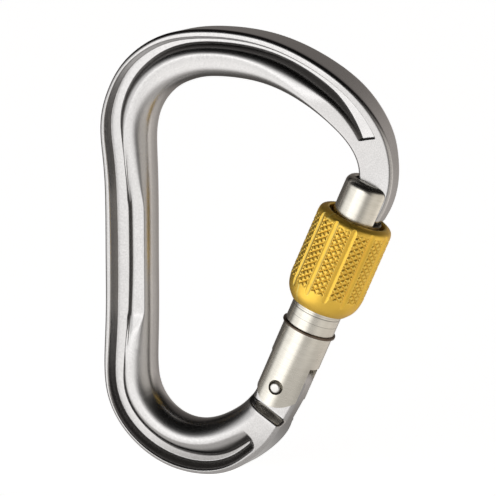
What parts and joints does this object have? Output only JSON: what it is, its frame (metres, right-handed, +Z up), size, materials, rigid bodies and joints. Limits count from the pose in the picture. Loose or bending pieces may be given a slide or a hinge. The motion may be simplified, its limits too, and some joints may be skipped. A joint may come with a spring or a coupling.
{
  "type": "locking carabiner",
  "caption": "Offset-D screw-gate carabiner: forged I-section body, hinged tubular gate with spring plunger, and a knurled locking sleeve on a screw thread.",
  "frame": {"origin": "rope-bearing point at the crown of the wide (upper) basket, on the mid-plane of the body", "axes": "+Z up along the spine, the object's longest direction; +X from the spine towards the gate; Y through the thickness, +Y away from the viewer"},
  "size_m": [0.0686, 0.0172, 0.1],
  "materials": {
    "forged_body": "satin tumbled, lightly brushed",
    "gate_metal": "satin, warm nickel tone",
    "rivet_steel": "polished end faces",
    "spring_steel": "drawn wire and turned steel",
    "gold_anodised": "satin gold anodised, knurled",
    "ring_bronze": "dark bronze wire"
  },
  "bodies": {
    "frame": {"body": "forged_body"},
    "gate": {"gate_barrel": "gate_metal", "hinge_rivet": "rivet_steel", "gate_spring": "spring_steel"},
    "plunger": {"spring_plunger": "spring_steel"},
    "ring": {"stop_ring": "ring_bronze"},
    "sleeve": {"locking_sleeve": "gold_anodised"}
  },
  "joints": [
    {"name": "gate_hinge", "type": "hinge", "parent": "frame", "child": "gate", "pos_m": [0.0155, 0, -0.068], "axis": [0, -1, 0], "range_deg": [0, 40], "stiffness_Nm_per_rad": 0.15, "springref_deg": -34.38},
    {"name": "plunger_travel", "type": "slide", "parent": "gate", "child": "plunger", "axis": [0.4067, 0, 0.9135], "range_m": [0, 0.0014], "deforming": ["gate_spring"]},
    {"name": "sleeve_turn", "type": "hinge", "parent": "gate", "child": "ring", "pos_m": [0.0155, 0, -0.068], "axis": [0.4067, 0, 0.9135], "range_deg": [-720, 720]},
    {"name": "sleeve_travel", "type": "slide", "parent": "ring", "child": "sleeve", "axis": [0.4067, 0, 0.9135], "range_m": [-0.005, 0.005]}
  ],
  "couplings": [
    {"joint": "plunger_travel", "follows": "gate_hinge", "m_per_rad": 0.002},
    {"joint": "sleeve_travel", "follows": "sleeve_turn", "m_per_rad": 0.00039788}
  ]
}
